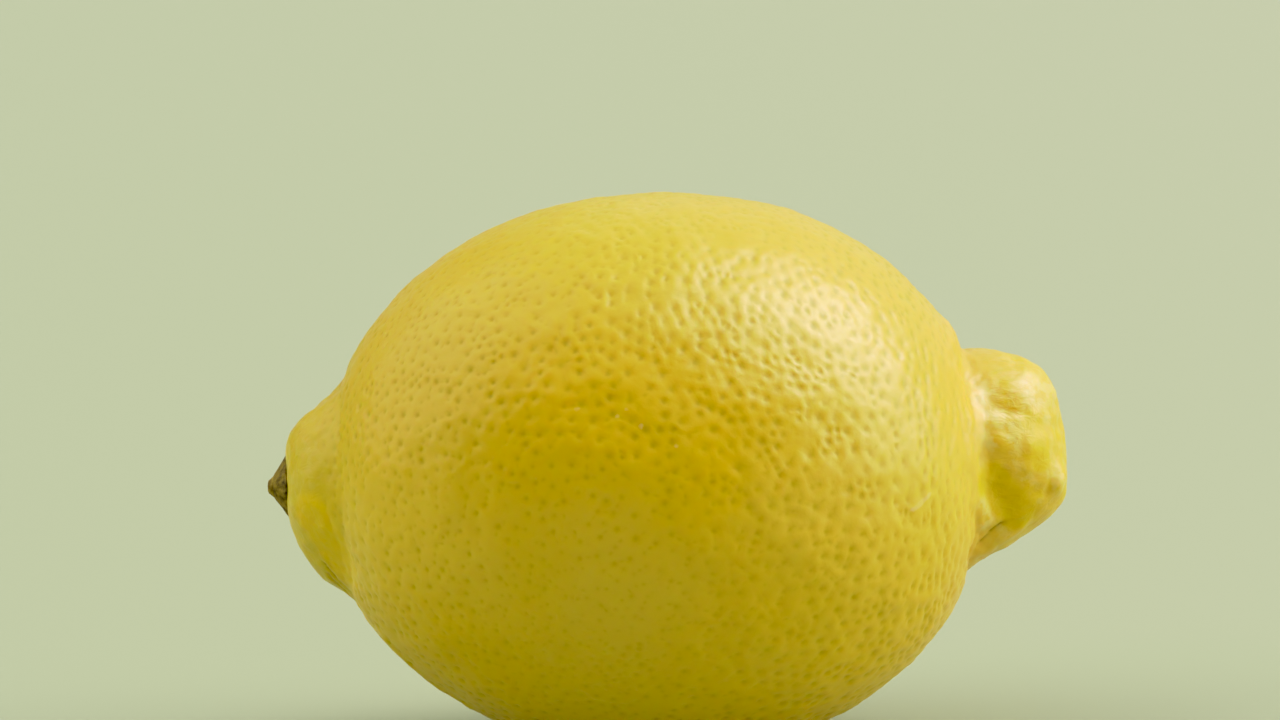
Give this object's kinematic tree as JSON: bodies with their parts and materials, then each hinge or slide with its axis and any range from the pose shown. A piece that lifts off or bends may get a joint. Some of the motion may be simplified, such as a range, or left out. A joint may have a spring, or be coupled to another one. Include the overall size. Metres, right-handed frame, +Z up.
{
  "type": "lemon",
  "caption": "Whole ripe lemon lying on its side, an oval pitted rind with a knobbly nipple at one end and a dry calyx with a stem stub at the other.",
  "frame": {"origin": "centre of the small flat spot on the underside that the lemon rests on, straight below the middle of the body", "axes": "+X along the fruit from the stem end to the nipple, +Z up from the surface it rests on, +Y across it"},
  "size_m": [0.0921, 0.0652, 0.0648],
  "materials": {
    "rind": "waxy, satin, pitted",
    "calyx": "dry, rough",
    "stem": "dry, rough, broken"
  },
  "bodies": {
    "root": {"fruit": "rind", "calyx": "calyx", "stem_stub": "stem"}
  },
  "joints": []
}
